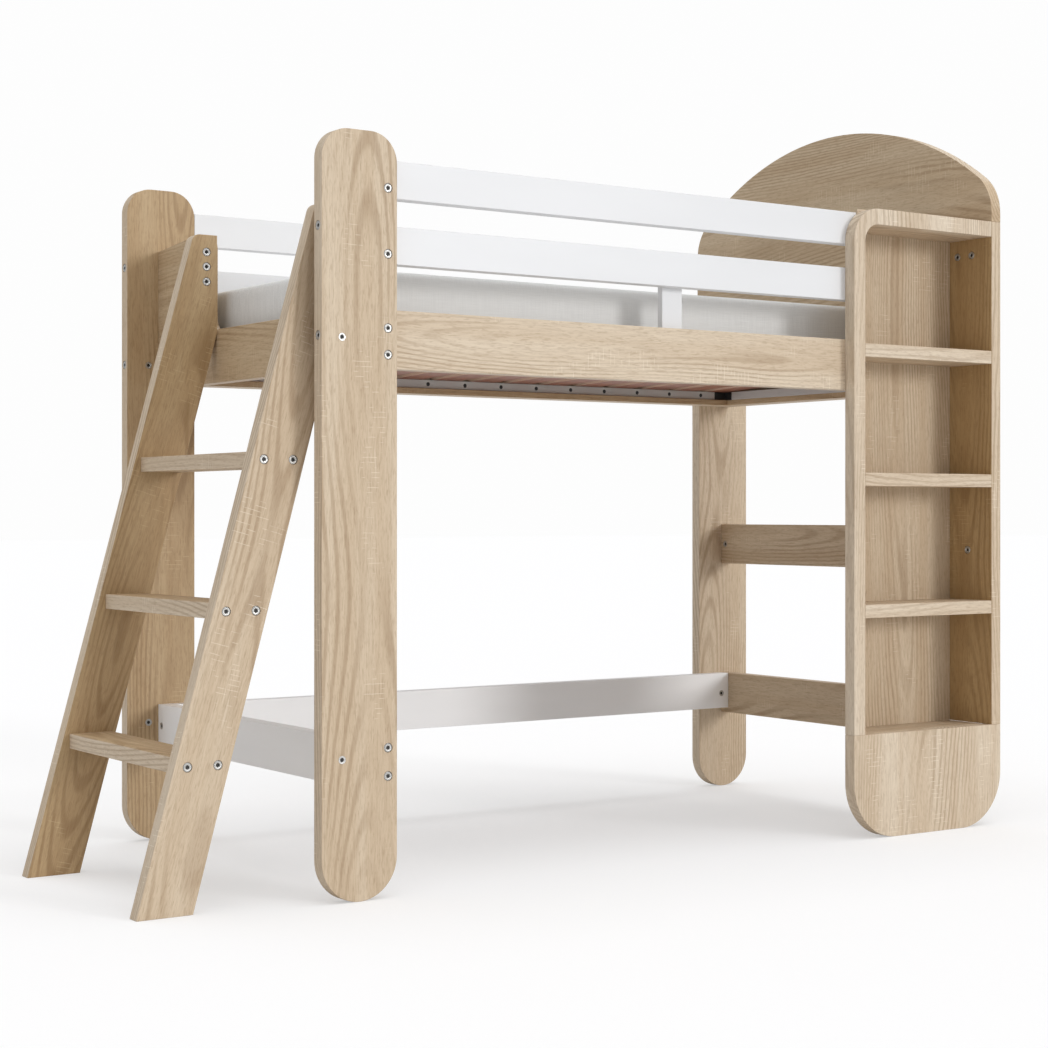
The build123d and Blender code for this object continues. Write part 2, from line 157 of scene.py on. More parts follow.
# How far the floor reaches from the middle, and how far the camera sees
FLOOR_REACH = 60
VIEW_DISTANCE = 200

# Grain direction of each white board
WHITE_BOARDS = {
    "guard_rail_front_lower": X,
    "guard_rail_front_upper": X,
    "guard_rail_back_lower": X,
    "guard_rail_back_upper": X,
    "guard_rail_upright": Z,
    "low_rail_back": X,
    "low_rail_left": Y,
}


# Shader building


class Wire:
    """A node's output socket, with arithmetic that adds Math nodes."""

    def __init__(self, shader, socket):
        self.shader = shader
        self.socket = socket

    def math(self, operation, *values):
        inputs = dict(enumerate(values))
        return self.shader.node("ShaderNodeMath", {"operation": operation}, inputs)

    def __add__(self, other):
        return self.math("ADD", self, other)

    def __sub__(self, other):
        return self.math("SUBTRACT", self, other)

    def __rsub__(self, other):
        return self.math("SUBTRACT", other, self)

    def __mul__(self, other):
        return self.math("MULTIPLY", self, other)

    def __pow__(self, other):
        return self.math("POWER", self, other)

    __radd__ = __add__
    __rmul__ = __mul__

    def sine(self):
        return self.math("SINE", self)

    def size(self):
        return self.math("ABSOLUTE", self)

    def above(self, low, high):
        """0 below low, 1 above high, and a smooth step between them."""
        settings = {"interpolation_type": "SMOOTHSTEP"}
        inputs = {"Value": self, "From Min": low, "From Max": high}
        return self.shader.node("ShaderNodeMapRange", settings, inputs)


class Shader:
    """A node material that is being built."""

    def __init__(self, name):
        self.material = bpy.data.materials.new(name)
        self.material.use_nodes = True
        self.tree = self.material.node_tree
        self.tree.nodes.clear()

    def node(self, kind, settings=None, inputs=None, output=0):
        """Add a node, set it up, then give its sockets values or links."""
        node = self.tree.nodes.new(kind)
        for key, value in (settings or {}).items():
            setattr(node, key, value)
        for key, value in (inputs or {}).items():
            if isinstance(value, Wire):
                self.tree.links.new(value.socket, node.inputs[key])
            else:
                node.inputs[key].default_value = value
        return Wire(self, node.outputs[output])

    def position(self):
        return self.node("ShaderNodeTexCoord", output="Object")

    def placed(self, turn, place):
        """Position turned by a matrix, then moved."""
        inputs = {"Vector": self.position(), "Location": place, "Rotation": turn.to_euler()}
        return self.node("ShaderNodeMapping", {"vector_type": "POINT"}, inputs)

    def stretched(self, vector, factors):
        inputs = {0: vector, 1: factors}
        return self.node("ShaderNodeVectorMath", {"operation": "MULTIPLY"}, inputs)

    def noise(self, vector, factors, detail=2.0, roughness=0.5):
        """Noise with its own scale along each axis, from 0 to 1."""
        inputs = {
            "Vector": self.stretched(vector, factors),
            "Scale": 1.0,
            "Detail": detail,
            "Roughness": roughness,
        }
        return self.node("ShaderNodeTexNoise", {"noise_dimensions": "3D"}, inputs)

    def facing(self, direction):
        """How far the surface faces along a direction or against it, from 0 to 1."""
        normal = self.node("ShaderNodeNewGeometry", output="Normal")
        inputs = {0: normal, 1: direction}
        dot = self.node("ShaderNodeVectorMath", {"operation": "DOT_PRODUCT"}, inputs, "Value")
        return dot.size()

    def split(self, vector):
        return [self.node("ShaderNodeSeparateXYZ", None, {0: vector}, axis) for axis in "XYZ"]

    def mix(self, factor, first, second, blend="MIX"):
        """Mix two colours."""
        settings = {"data_type": "RGBA", "blend_type": blend}
        inputs = {0: factor, 6: as_colour(first), 7: as_colour(second)}
        return self.node("ShaderNodeMix", settings, inputs, output=2)

    def bump(self, height, distance, strength=1.0):
        inputs = {"Height": height, "Distance": distance, "Strength": strength}
        return self.node("ShaderNodeBump", None, inputs)

    def finish(self, **sockets):
        """Close the material with one surface shader."""
        inputs = {name.replace("_", " "): as_colour(value) for name, value in sockets.items()}
        surface = self.node("ShaderNodeBsdfPrincipled", None, inputs)
        output = self.tree.nodes.new("ShaderNodeOutputMaterial")
        self.tree.links.new(surface.socket, output.inputs["Surface"])
        return self.material


def as_colour(value):
    """Give a three-part colour its alpha, and leave everything else alone."""
    if hasattr(value, "__len__") and len(value) == 3:
        return (*value, 1.0)
    return value


# Settings


class LoftBedOak(bpy.types.PropertyGroup):
    """Colours and figure of the oak decor, and the tint of its painted shade."""

    light: FloatVectorProperty(
        name="Light", description="Pale wood between the rings",
        default=(0.70, 0.60, 0.475), size=3, subtype="COLOR",
    )
    warm: FloatVectorProperty(
        name="Warm", description="Warmer bands along the grain",
        default=(0.585, 0.465, 0.335), size=3, subtype="COLOR",
    )
    dark: FloatVectorProperty(
        name="Dark", description="Late wood, pores and knots",
        default=(0.33, 0.225, 0.135), size=3, subtype="COLOR",
    )
    sawn: FloatVectorProperty(
        name="Saw marks", description="Pale marks across the grain",
        default=(0.86, 0.78, 0.66), size=3, subtype="COLOR",
    )
    # Painted shade: the tint that boards standing in shade are multiplied towards
    shade_tint: FloatVectorProperty(
        name="Deep", description="What the colour is multiplied by in the richest cut",
        default=(0.68, 0.54, 0.33), size=3, subtype="COLOR",
    )
    rings: FloatProperty(
        name="Rings", description="Growth rings in a metre", default=95.0, min=1.0,
    )
    saw_pitch: FloatProperty(
        name="Saw pitch", description="Distance from one saw mark to the next",
        default=0.012, unit="LENGTH",
    )
    bands: FloatProperty(
        name="Bands", description="How much the warmer bands show", default=0.70,
    )
    ring_depth: FloatProperty(
        name="Ring depth", description="How much the rings show where they are strong",
        default=0.40,
    )
    ring_floor: FloatProperty(
        name="Ring floor", description="How much the rings show where they are weak",
        default=0.06,
    )
    knots: FloatProperty(name="Knots", description="How much the knots show", default=0.30)
    fibre: FloatProperty(name="Fibre", description="How much the fibres show", default=0.24)
    dashes: FloatProperty(name="Dashes", description="How much the dashes show", default=0.30)
    pores: FloatProperty(name="Pores", description="How much the pores show", default=0.25)
    strokes: FloatProperty(
        name="Strokes", description="How much the wide saw marks show", default=0.52,
    )
    weft: FloatProperty(
        name="Weft", description="How much the fine saw marks show", default=0.28,
    )


class LoftBedFinishes(bpy.types.PropertyGroup):
    """Colours of the foil, the slats, the tubes, the plastic and the fasteners, with painted light
    on the low rails, and painted shade in the sockets and on the slat faces.
    """

    white: FloatVectorProperty(
        name="White foil", description="White boards",
        default=(0.735, 0.74, 0.755), size=3, subtype="COLOR",
    )
    # Painted light: a brighter copy of the white foil for the low rails, standing in for light
    # they lack in the shade under the bed
    white_with_painted_light: FloatVectorProperty(
        name="Bright white foil", description="Low rails",
        default=(0.90, 0.90, 0.905), size=3, subtype="COLOR",
    )
    # Slat faces: dark red-brown, partly their film and partly painted shade of the underside
    slat_face_and_shade: FloatVectorProperty(
        name="Slat face", description="Film on the slats",
        default=(0.22, 0.080, 0.045), size=3, subtype="COLOR",
    )
    # Slat edges: lighter bare plies, partly their own colour and partly painted light
    slat_edge_and_light: FloatVectorProperty(
        name="Slat edge", description="Bare plywood edges",
        default=(0.72, 0.50, 0.38), size=3, subtype="COLOR",
    )
    tube: FloatVectorProperty(
        name="Tube", description="Paint of the steel tubes",
        default=(0.56, 0.55, 0.53), size=3, subtype="COLOR",
    )
    plastic: FloatVectorProperty(
        name="Plastic", description="Corner blocks and tube plugs",
        default=(0.018, 0.018, 0.019), size=3, subtype="COLOR",
    )
    zinc: FloatVectorProperty(
        name="Zinc", description="Bolts and barrel nuts",
        default=(0.52, 0.515, 0.50), size=3, subtype="COLOR",
    )
    # Painted shade: near-black that stands in for the shade deep inside the sockets
    socket_shade: FloatVectorProperty(
        name="Recess", description="Blackened inside of the sockets",
        default=(0.03, 0.029, 0.028), size=3, subtype="COLOR",
    )


class LoftBedMattress(bpy.types.PropertyGroup):
    """The mattress and its cover."""

    cover: FloatVectorProperty(
        name="Cover", description="Yarn colour of the cover",
        default=(0.76, 0.76, 0.75), size=3, subtype="COLOR",
    )
    inset: FloatProperty(
        name="Inset", description="How far the pad's sides and bottom start inside its space",
        default=0.006, unit="LENGTH",
    )
    corner: FloatProperty(
        name="Corner", description="Size of the upright corners", default=0.040, unit="LENGTH",
    )
    rim: FloatProperty(
        name="Rim", description="Size of the rim above and below", default=0.010, unit="LENGTH",
    )
    crown: FloatProperty(
        name="Crown", description="How far the pad's top starts above its space",
        default=0.004, unit="LENGTH",
    )
    swell: FloatProperty(
        name="Swell", description="Most that a point of the cover may move",
        default=0.006, unit="LENGTH",
    )
    voxel: FloatProperty(
        name="Voxel", description="Size of the remeshed cells",
        default=0.014, unit="LENGTH",
    )
    steps: IntProperty(name="Steps", description="Simulated frames", default=16, min=2)
    pressure: FloatProperty(
        name="Pressure", description="Pressure that swells the cover", default=4.0,
    )
    quality: IntProperty(
        name="Quality", description="Simulation steps in one frame", default=4, min=1,
    )


class LoftBedStudio(bpy.types.PropertyGroup):
    """Camera, lights and floor."""

    eye: FloatVectorProperty(
        name="Eye", description="Where the camera stands",
        default=(-3.2708, -4.949, 0.925), size=3, subtype="XYZ", unit="LENGTH",
    )
    heading: FloatProperty(
        name="Heading", description="Turn of the level camera away from the Y axis",
        default=radians(34.39), subtype="ANGLE",
    )
    lens: FloatProperty(
        name="Lens", description="Focal length in millimetres", default=70.8, min=1.0,
    )
    drop: FloatProperty(
        name="Drop", description="Vertical shift of the level camera", default=-0.011,
    )
    key: FloatProperty(name="Key", description="Strength of the front light", default=1.1)
    top: FloatProperty(name="Top", description="Strength of the overhead light", default=1.5)
    sky: FloatProperty(name="Sky", description="Strength of the light all round", default=0.55)
    backdrop: FloatProperty(
        name="Backdrop", description="Strength of the sky as the camera sees it", default=0.985,
    )
    bounce: FloatVectorProperty(
        name="Bounce", description="Floor colour that lights the bed from below",
        default=(0.80, 0.80, 0.80), size=3, subtype="COLOR",
    )
    paper: FloatVectorProperty(
        name="Paper", description="Floor colour that the camera sees",
        default=(0.53, 0.53, 0.535), size=3, subtype="COLOR",
    )
    glow: FloatVectorProperty(
        name="Glow", description="Added to the floor that the camera sees",
        default=(0.415, 0.415, 0.415), size=3, subtype="COLOR",
    )


# Oak


def grain_turn(along, across):
    """Rotation that puts the grain on X, the thickness on Y and the width on Z."""
    return Matrix((along, across.cross(along), across)).to_4x4()


def oak_material(node, oak, number):
    """Limed oak decor: long growth rings, bands, pores and pale saw marks, with painted shade on
    boards that stand in shade.
    """
    along, across = OAK_BOARDS[node]
    low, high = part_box(node)
    turn = grain_turn(along, across)
    centre = turn @ ((low + high) / 2)
    draw = Random(number)
    shift = Vector((draw.uniform(1, 40), 0, 0))
    pith_depth = draw.uniform(0.05, 0.09)
    pith_side = draw.uniform(-0.05, 0.05)

    shader = Shader(f"oak_{node}")
    board = shader.placed(turn, shift - centre)
    length, thickness, width = shader.split(board)

    drift = shader.noise(board, (0.6, 2.0, 2.0), detail=0) - 0.5
    dip = shader.noise(board, (0.9, 3.0, 3.0), detail=0) - 0.5
    ripple = shader.noise(board, (7, 34, 34), detail=2) - 0.5
    side = width + drift * 0.20 + ripple * 0.012 - pith_side
    depth = thickness + dip * 0.17 + pith_depth
    radius = (side * side + depth * depth) ** 0.5
    rings = (radius * (2 * pi * oak.rings)).sine().above(-0.2, 1.0)
    figure = shader.noise(board, (1.3, 8, 8), detail=1).above(0.38, 0.62)

    bands = shader.noise(board, (0.5, 15, 15), detail=2, roughness=0.55).above(0.34, 0.66)
    fibre = shader.noise(board, (16, 300, 300), detail=3, roughness=0.65)
    dashes = shader.noise(board, (42, 300, 300), detail=1).above(0.52, 0.72)
    pores = shader.noise(board, (70, 640, 640), detail=1).above(0.58, 0.76)
    knots = shader.noise(board, (2.4, 15, 15), detail=0).above(0.76, 0.88)

    patches = shader.noise(board, (6, 13, 13), detail=0).above(0.60, 0.68)
    breaks = shader.noise(board, (80, 34, 34), detail=1).above(0.48, 0.60)
    strokes = (length * (2 * pi / oak.saw_pitch) + ripple * 2.0).sine().above(0.84, 1.0)
    plaid = shader.noise(board, (4, 14, 14), detail=0).above(0.58, 0.66)
    weft = shader.noise(board, (9, 210, 210), detail=0).above(0.60, 0.74)
    saw = patches * breaks * strokes * oak.strokes + patches * plaid * weft * oak.weft

    colour = shader.mix(bands * oak.bands, oak.light, oak.warm)
    colour = shader.mix(rings * (figure * oak.ring_depth + oak.ring_floor), colour, oak.dark)
    colour = shader.mix(knots * oak.knots, colour, oak.dark)
    colour = shader.mix(fibre.above(0.40, 0.72) * oak.fibre, colour, oak.dark)
    colour = shader.mix(dashes * oak.dashes, colour, oak.dark)
    colour = shader.mix(pores * oak.pores, colour, oak.dark)
    colour = shader.mix(saw, colour, oak.sawn)
    # Painted shade: boards that stand in shade are multiplied towards a darker, redder tint, less
    # on their edge faces
    shade_strength = OAK_PAINTED_SHADE.get(node, USUAL_PAINTED_SHADE)
    edge_faces = shader.facing(across).above(0.6, 0.8)
    colour = shader.mix(shade_strength - edge_faces * (shade_strength * EDGE_SHADE_RELIEF), colour, oak.shade_tint, blend="MULTIPLY")

    relief = fibre * 0.5 - pores * 0.8 - saw * 0.4
    return shader.finish(
        Base_Color=colour,
        Roughness=fibre * 0.18 + 0.46,
        Normal=shader.bump(relief, 0.00035, 0.5),
        Specular_IOR_Level=0.3,
    )


# Other finishes


def white_material(node, grain, finishes, number):
    """White foil with a faint pressed grain; the low rails get a brighter copy, painted light that
    stands in for light they lack in the shade under the bed.
    """
    shader = Shader(f"white_{node}")
    across = Z if grain != Z else X
    turn = grain_turn(grain, across)
    board = shader.placed(turn, Vector((3.0 * number, 0, 0)))
    press = shader.noise(board, (30, 260, 260), detail=3, roughness=0.6)
    cloud = shader.noise(board, (1.5, 9, 9), detail=2)
    # Painted light: the low rails take the brighter copy of the foil
    white = finishes.white_with_painted_light if node.startswith("low_rail") else finishes.white
    shaded = tuple(part * 0.965 for part in white)
    colour = shader.mix(cloud.above(0.3, 0.75), white, shaded)
    return shader.finish(
        Base_Color=colour,
        Roughness=press * 0.12 + 0.34,
        Normal=shader.bump(press, 0.00012, 0.35),
    )


def slat_material(finishes):
    """Plywood slats: a red-brown film on the faces, darkened further by painted shade, and bare
    plies on the edges, lightened further by painted light.
    """
    shader = Shader("slat_plywood")
    place = shader.position()
    # Faces that look up or down take the darker colour, partly painted shade; edges take the
    # lighter one, partly painted light
    flat = shader.facing(Z).above(0.45, 0.8)
    plies = (shader.split(place)[2] * (2 * pi / PLY_PITCH)).sine().above(-0.2, 0.6)
    grain = shader.noise(place, (240, 5, 240), detail=3, roughness=0.6)
    edge_dark = tuple(part * 0.72 for part in finishes.slat_edge_and_light)
    face_light = tuple(part * 1.7 for part in finishes.slat_face_and_shade)
    edge = shader.mix(plies * 0.8, finishes.slat_edge_and_light, edge_dark)
    face = shader.mix(grain.above(0.35, 0.7), finishes.slat_face_and_shade, face_light)
    return shader.finish(
        Base_Color=shader.mix(flat, edge, face),
        Roughness=grain * 0.2 + 0.38,
        Normal=shader.bump(grain, 0.0002, 0.4),
    )


def tube_material(finishes):
    """Satin grey paint on steel."""
    shader = Shader("tube_steel")
    place = shader.position()
    peel = shader.noise(place, (420, 420, 420), detail=2)
    wear = shader.noise(place, (12, 12, 60), detail=4, roughness=0.65).above(0.55, 0.8)
    darker = tuple(part * 0.72 for part in finishes.tube)
    return shader.finish(
        Base_Color=shader.mix(wear * 0.6, finishes.tube, darker),
        Metallic=0.1,
        Roughness=peel * 0.15 + 0.38,
        Normal=shader.bump(peel, 0.00015, 0.4),
    )


def plastic_material(finishes):
    """Black moulded plastic with a spark-eroded grain."""
    shader = Shader("black_plastic")
    grain = shader.noise(shader.position(), (900, 900, 900), detail=2)
    scuffs = shader.noise(shader.position(), (60, 200, 90), detail=3).above(0.62, 0.8)
    grey = tuple(part * 3.2 for part in finishes.plastic)
    return shader.finish(
        Base_Color=shader.mix(scuffs * 0.5, finishes.plastic, grey),
        Roughness=grain * 0.25 + 0.4,
        Normal=shader.bump(grain, 0.0002, 0.6),
    )


def zinc_material(finishes):
    """Zinc-plated steel with faint clouds."""
    shader = Shader("fastener_zinc")
    clouds = shader.noise(shader.position(), (300, 300, 300), detail=3, roughness=0.6)
    scratches = shader.noise(shader.position(), (2600, 300, 700), detail=2)
    darker = tuple(part * 0.72 for part in finishes.zinc)
    return shader.finish(
        Base_Color=shader.mix(clouds.above(0.4, 0.7) * 0.7, finishes.zinc, darker),
        Metallic=0.85,
        Roughness=clouds * 0.2 + 0.30,
        Normal=shader.bump(scratches, 0.00006, 0.4),
    )


def socket_shade_material(finishes):
    """Painted shade inside a socket: near-black steel with a trace of oil, standing in for the
    shade of a deep socket.
    """
    shader = Shader("socket_painted_shade")
    oil = shader.noise(shader.position(), (500, 500, 500), detail=2)
    grey = tuple(part * 1.8 for part in finishes.socket_shade)
    return shader.finish(
        Base_Color=shader.mix(oil.above(0.45, 0.7), finishes.socket_shade, grey),
        Metallic=0.4,
        Roughness=oil * 0.2 + 0.5,
    )


def cover_material(mattress):
    """Woven mattress cover: crossing yarns with slubs and a soft sheen."""
    shader = Shader("mattress_cover")
    place = shader.position()
    x, y, z = shader.split(place)
    pitch = 2 * pi / YARN_PITCH
    warp = ((x + y) * pitch).sine()
    weft = ((z + y) * pitch).sine()
    weave = (warp * weft) * 0.5 + 0.5
    slub_long = shader.noise(place, (14, 120, 700), detail=3, roughness=0.6)
    slub_up = shader.noise(place, (700, 120, 14), detail=3, roughness=0.6)
    slubs = (slub_long + slub_up) * 0.5
    soft = shader.noise(place, (3, 3, 5), detail=2)
    light = tuple(part * 1.05 for part in mattress.cover)
    dark = tuple(part * 0.90 for part in mattress.cover)
    yarn = shader.mix(slubs.above(0.36, 0.66), dark, light)
    colour = shader.mix(soft.above(0.3, 0.7) * 0.5, yarn, mattress.cover)
    return shader.finish(
        Base_Color=colour,
        Roughness=slubs * 0.15 + 0.78,
        Normal=shader.bump(weave + slubs * 0.5, 0.0004, 0.4),
        Sheen_Weight=0.25,
        Sheen_Roughness=0.5,
        Specular_IOR_Level=0.2,
    )


def paint(node, material):
    """Give a CAD node its material."""
    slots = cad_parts[node].data.materials
    slots.clear()
    slots.append(material)


# Mesh building


def new_piece(name, mesh, material):
    """Turn a bmesh into an object at the origin that rides on the bed."""
    bmesh.ops.recalc_face_normals(mesh, faces=mesh.faces)
    data = bpy.data.meshes.new(name)
    mesh.to_mesh(data)
    mesh.free()
    data.materials.append(material)
    piece = bpy.data.objects.new(name, data)
    bpy.context.scene.collection.objects.link(piece)
    data.shade_smooth()
    data.set_sharp_from_angle(angle=SHARP_ANGLE)
    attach(piece, "root")
    return piece


def islands(node):
    """The points of each separate solid of a CAD node."""
    mesh = bmesh.new()
    mesh.from_mesh(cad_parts[node].data)
    bmesh.ops.remove_doubles(mesh, verts=mesh.verts, dist=MERGE_DISTANCE)
    seen = set()
    found = []
    for first in mesh.verts:
        if first in seen:
            continue
        seen.add(first)
        group = [first]
        for vertex in group:
            near = [edge.other_vert(vertex) for edge in vertex.link_edges]
            fresh = [other for other in near if other not in seen]
            seen.update(fresh)
            group.extend(fresh)
        found.append([vertex.co.copy() for vertex in group])
    mesh.free()
    return found


def fastener_place(points):
    """Matrix of a fastener's outer face: it lies at the end that has the most points."""
    low = Vector(min(values) for values in zip(*points))
    high = Vector(max(values) for values in zip(*points))
    centre = (low + high) / 2
    size = high - low
    axis = max(range(3), key=lambda number: size[number])
    mean = sum(points, Vector()) / len(points)
    facing = Vector()
    facing[axis] = 1 if mean[axis] > centre[axis] else -1
    turn = facing.to_track_quat("Z", "Y")
    return Matrix.LocRotScale(centre + facing * size[axis] / 2, turn, None)


def turned(profile):
    """A closed outline, or one with a hole in its outer face, turned about Z."""
    mesh = bmesh.new()
    points = [mesh.verts.new((radius, 0, height)) for radius, height in profile]
    lines = [mesh.edges.new(pair) for pair in zip(points, points[1:])]
    bmesh.ops.spin(
        mesh, geom=points + lines, cent=(0, 0, 0), axis=(0, 0, 1),
        angle=2 * pi, steps=TURNING_STEPS, use_merge=True,
    )
    bmesh.ops.remove_doubles(mesh, verts=mesh.verts, dist=MERGE_DISTANCE)
    return mesh


def pattern(name, mesh):
    """Keep a bmesh as a mesh that can be copied."""
    data = bpy.data.meshes.new(name)
    mesh.to_mesh(data)
    mesh.free()
    return data


def fastener(name, profile):
    """A turned fastener with a hexagon socket in its outer face."""
    mesh = turned(profile)
    rim = [edge for edge in mesh.edges if edge.is_boundary]
    place = Matrix.Translation((0, 0, profile[0][1] - SOCKET_LEAD))
    bmesh.ops.create_circle(
        mesh, cap_ends=False, segments=6, radius=SOCKET_RADIUS, matrix=place,
    )
    mouth = [edge for edge in mesh.edges if edge.is_wire]
    bmesh.ops.bridge_loops(mesh, edges=rim + mouth)
    wall = bmesh.ops.extrude_edge_only(mesh, edges=mouth)["geom"]
    lowered = [item for item in wall if isinstance(item, bmesh.types.BMVert)]
    bmesh.ops.translate(mesh, verts=lowered, vec=(0, 0, -SOCKET_DEPTH))
    walls = [item for item in wall if isinstance(item, bmesh.types.BMFace)]
    floor_edges = [edge for edge in mesh.edges if edge.is_boundary]
    floor = bmesh.ops.contextual_create(mesh, geom=floor_edges)["faces"]
    # Socket walls and floor take the second slot, the painted shade
    for face in walls + floor:
        face.material_index = 1
    return pattern(name, mesh)


def repeated(data, places):
    """One bmesh with a copy of a mesh at each place."""
    mesh = bmesh.new()
    for place in places:
        before = len(mesh.verts)
        mesh.from_mesh(data)
        mesh.verts.ensure_lookup_table()
        bmesh.ops.transform(mesh, matrix=place, verts=mesh.verts[before:])
    return mesh


def edge_rise(edge):
    """How much higher one end of an edge lies than the other."""
    first, second = edge.verts
    return abs(first.co.z - second.co.z)


def rounded_pad(low, high, corner, rim):
    """A pad with round upright corners and a softer rim above and below."""
    mesh = bmesh.new()
    place = Matrix.LocRotScale((low + high) / 2, None, high - low)
    bmesh.ops.create_cube(mesh, size=1.0, matrix=place)
    upright = [edge for edge in mesh.edges if edge_rise(edge) > LEVEL_RISE]
    bmesh.ops.bevel(
        mesh, geom=upright, offset=corner, affect="EDGES",
        segments=6, profile=0.5, material=-1,
    )
    rims = [edge for edge in mesh.edges if edge_rise(edge) < LEVEL_RISE]
    bmesh.ops.bevel(
        mesh, geom=rims, offset=rim, affect="EDGES",
        segments=4, profile=0.5, material=-1,
    )
    return mesh


def apply_modifiers(piece):
    """Replace a piece's mesh with what its modifiers make of it."""
    graph = bpy.context.evaluated_depsgraph_get()
    made = bpy.data.meshes.new_from_object(piece.evaluated_get(graph))
    piece.modifiers.clear()
    piece.data = made


def swell(piece, settings):
    """Inflate a pad a little by cloth simulation, and cap how far its points move."""
    remesh = piece.modifiers.new("cells", "REMESH")
    remesh.mode = "VOXEL"
    remesh.voxel_size = settings.voxel
    apply_modifiers(piece)
    start = [vertex.co.copy() for vertex in piece.data.vertices]
    cloth = piece.modifiers.new("cloth", "CLOTH")
    cloth.settings.use_pressure = True
    cloth.settings.uniform_pressure_force = settings.pressure
    cloth.settings.effector_weights.gravity = 0
    cloth.settings.quality = settings.quality
    scene = bpy.context.scene
    for step in range(1, settings.steps + 1):
        scene.frame_set(step)
    apply_modifiers(piece)
    scene.frame_set(1)
    for vertex, rest in zip(piece.data.vertices, start):
        move = vertex.co - rest
        if move.length > settings.swell:
            vertex.co = rest + move.normalized() * settings.swell


# Operators


class LOFTBED_OT_oak_boards(bpy.types.Operator):
    """Give every oak board its own cut of the decor, and its share of painted shade."""

    bl_idname = "loftbed.oak_boards"
    bl_label = "Oak boards"

    def execute(self, context):
        oak = context.scene.loftbed_oak
        for number, node in enumerate(OAK_BOARDS):
            paint(node, oak_material(node, oak, number))
        return {"FINISHED"}


class LOFTBED_OT_white_boards(bpy.types.Operator):
    """Give the guard rails and low rails their white foil."""

    bl_idname = "loftbed.white_boards"
    bl_label = "White boards"

    def execute(self, context):
        finishes = context.scene.loftbed_finishes
        for number, (node, grain) in enumerate(WHITE_BOARDS.items()):
            paint(node, white_material(node, grain, finishes, number))
        return {"FINISHED"}


class LOFTBED_OT_slatted_base(bpy.types.Operator):
    """Finish the tubes, corner blocks and slats, and plug the tubes' holes."""

    bl_idname = "loftbed.slatted_base"
    bl_label = "Slatted base"

    def execute(self, context):
        finishes = context.scene.loftbed_finishes
        tube = tube_material(finishes)
        plastic = plastic_material(finishes)
        plywood = slat_material(finishes)
        slats = [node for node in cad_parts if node.startswith("slat_")]
        for node in slats:
            paint(node, plywood)
        for side in ("front", "back", "left", "right"):
            paint(f"base_tube_{side}", tube)
        paint("base_corners", plastic)
        self.plugs(slats, plastic)
        return {"FINISHED"}

    def plugs(self, slats, plastic):
        """A plug between each slat and the next, on the inner face of each long tube."""
        middles = sorted(sum(corner.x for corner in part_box(node)) / 2 for node in slats)
        plug = pattern("plug", turned(PLUG_PROFILE))
        places = []
        for tube, inward in (("base_tube_front", Y), ("base_tube_back", -Y)):
            low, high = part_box(tube)
            y = high.y if inward == Y else low.y
            z = (low.z + high.z) / 2
            turn = inward.to_track_quat("Z", "Y")
            for left, right in zip(middles, middles[1:]):
                spot = Vector(((left + right) / 2, y, z))
                places.append(Matrix.LocRotScale(spot, turn, None))
        piece = new_piece("tube_plugs", repeated(plug, places), plastic)


class LOFTBED_OT_fasteners(bpy.types.Operator):
    """Turn the bolts and barrel nuts, with hexagon sockets."""

    bl_idname = "loftbed.fasteners"
    bl_label = "Fasteners"

    def execute(self, context):
        finishes = context.scene.loftbed_finishes
        zinc = zinc_material(finishes)
        socket_shade = socket_shade_material(finishes)
        bolt = fastener("bolt", BOLT_PROFILE)
        nut = fastener("nut", NUT_PROFILE)
        self.fill("bolts", "connector_bolts", bolt, zinc, socket_shade)
        self.fill("nuts", "barrel_nuts", nut, zinc, socket_shade)
        return {"FINISHED"}

    def fill(self, name, node, data, zinc, socket_shade):
        """Put a copy of a fastener in each place of a CAD node's solids."""
        places = [fastener_place(points) for points in islands(node)]
        piece = new_piece(name, repeated(data, places), zinc)
        # Second slot: painted shade for the sockets
        piece.data.materials.append(socket_shade)
        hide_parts(node)


class LOFTBED_OT_mattress(bpy.types.Operator):
    """Make the mattress as a stuffed, covered pad."""

    bl_idname = "loftbed.mattress"
    bl_label = "Mattress"

    def execute(self, context):
        settings = context.scene.loftbed_mattress
        low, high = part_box("mattress")
        shrink = Vector((settings.inset,) * 3)
        rise = Vector((0, 0, settings.inset + settings.crown))
        top = high - shrink + rise
        pad = rounded_pad(low + shrink, top, settings.corner, settings.rim)
        piece = new_piece("mattress_pad", pad, cover_material(settings))
        swell(piece, settings)
        smooth = piece.modifiers.new("finish", "SUBSURF")
        smooth.levels = 1
        smooth.render_levels = 1
        apply_modifiers(piece)
        piece.data.shade_smooth()
        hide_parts("mattress")
        return {"FINISHED"}


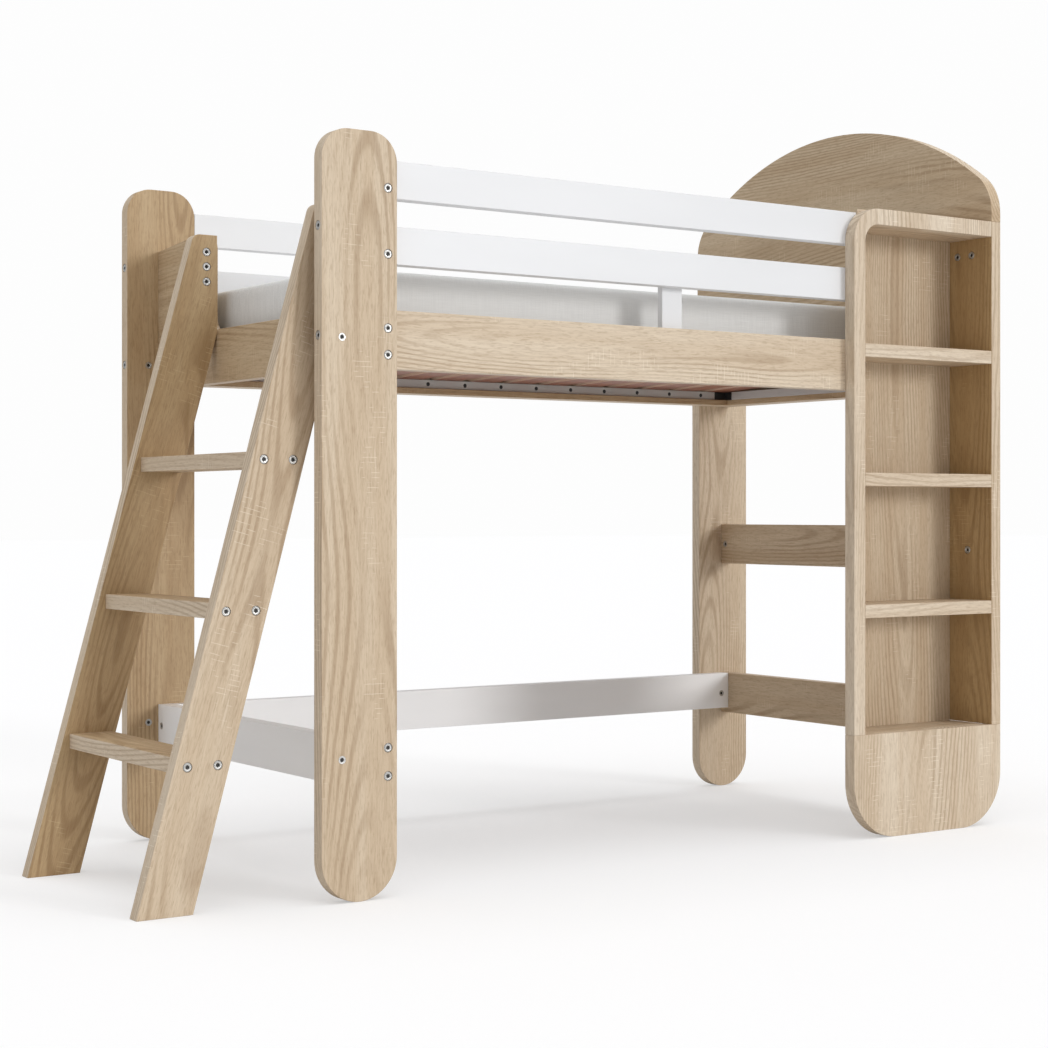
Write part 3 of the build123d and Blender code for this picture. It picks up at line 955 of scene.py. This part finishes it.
class LOFTBED_OT_studio(bpy.types.Operator):
    """Set up the camera, the lights and the floor."""

    bl_idname = "loftbed.studio"
    bl_label = "Studio"

    def execute(self, context):
        studio = context.scene.loftbed_studio
        self.camera(context, studio)
        self.light("key", studio.key, spread=16, tilt=78, turn=24)
        self.light("top", studio.top, spread=60, tilt=8, turn=30)
        self.floor(studio)
        self.sky(context, studio)
        context.scene.view_settings.view_transform = "Standard"
        return {"FINISHED"}

    def camera(self, context, studio):
        lens = bpy.data.cameras.new("camera")
        lens.lens = studio.lens
        lens.shift_y = studio.drop
        lens.clip_end = VIEW_DISTANCE
        camera = bpy.data.objects.new("camera", lens)
        camera.location = studio.eye
        camera.rotation_euler = (radians(90), 0, -studio.heading)
        context.scene.collection.objects.link(camera)
        context.scene.camera = camera

    def light(self, name, strength, spread, tilt, turn):
        """A sun with a wide disc, which gives soft shadows; its angles are in degrees."""
        data = bpy.data.lights.new(name, "SUN")
        data.energy = strength
        data.angle = radians(spread)
        light = bpy.data.objects.new(name, data)
        light.rotation_euler = (radians(tilt), 0, radians(turn))
        bpy.context.scene.collection.objects.link(light)

    def floor(self, studio):
        """A pale floor that looks evenly lit, and still shows the bed's shadow."""
        shader = Shader("studio_floor")
        seen = shader.node("ShaderNodeLightPath", output="Is Camera Ray")
        colour = shader.mix(seen, tuple(studio.bounce), tuple(studio.paper))
        glow = shader.mix(seen, (0.0, 0.0, 0.0), tuple(studio.glow))
        material = shader.finish(
            Base_Color=colour,
            Roughness=1.0,
            Specular_IOR_Level=0.0,
            Emission_Color=glow,
            Emission_Strength=1.0,
        )
        mesh = bmesh.new()
        bmesh.ops.create_grid(mesh, x_segments=1, y_segments=1, size=FLOOR_REACH)
        data = bpy.data.meshes.new("floor")
        mesh.to_mesh(data)
        mesh.free()
        data.materials.append(material)
        floor = bpy.data.objects.new("floor", data)
        bpy.context.scene.collection.objects.link(floor)

    def sky(self, context, studio):
        """White where the camera sees it, and dimmer as a light."""
        world = bpy.data.worlds.new("sky")
        world.use_nodes = True
        nodes = world.node_tree.nodes
        links = world.node_tree.links
        background = nodes["Background"]
        rays = nodes.new("ShaderNodeLightPath")
        strength = nodes.new("ShaderNodeMapRange")
        strength.inputs["To Min"].default_value = studio.sky
        strength.inputs["To Max"].default_value = studio.backdrop
        background.inputs["Color"].default_value = (1, 1, 1, 1)
        links.new(rays.outputs["Is Camera Ray"], strength.inputs["Value"])
        links.new(strength.outputs["Result"], background.inputs["Strength"])
        context.scene.world = world


class LOFTBED_PT_sidebar(bpy.types.Panel):
    """Lists the pieces in the order in which they are made."""

    bl_idname = "LOFTBED_PT_sidebar"
    bl_label = "Loft Bed"
    bl_space_type = "VIEW_3D"
    bl_region_type = "UI"
    bl_category = "Loft Bed"

    def draw(self, context):
        for operator in PIECES:
            self.layout.operator(operator.bl_idname)


SETTINGS = {
    "loftbed_oak": LoftBedOak,
    "loftbed_finishes": LoftBedFinishes,
    "loftbed_mattress": LoftBedMattress,
    "loftbed_studio": LoftBedStudio,
}
PIECES = (
    LOFTBED_OT_oak_boards,
    LOFTBED_OT_white_boards,
    LOFTBED_OT_slatted_base,
    LOFTBED_OT_fasteners,
    LOFTBED_OT_mattress,
    LOFTBED_OT_studio,
)


def register():
    for kind in (*SETTINGS.values(), *PIECES, LOFTBED_PT_sidebar):
        bpy.utils.register_class(kind)
    for name, kind in SETTINGS.items():
        setattr(bpy.types.Scene, name, PointerProperty(type=kind))


def unregister():
    for name in SETTINGS:
        delattr(bpy.types.Scene, name)
    for kind in reversed((*SETTINGS.values(), *PIECES, LOFTBED_PT_sidebar)):
        bpy.utils.unregister_class(kind)


def main():
    register()
    bpy.ops.loftbed.oak_boards()
    bpy.ops.loftbed.white_boards()
    bpy.ops.loftbed.slatted_base()
    bpy.ops.loftbed.fasteners()
    bpy.ops.loftbed.mattress()
    bpy.ops.loftbed.studio()


if __name__ == "__main__":
    main()
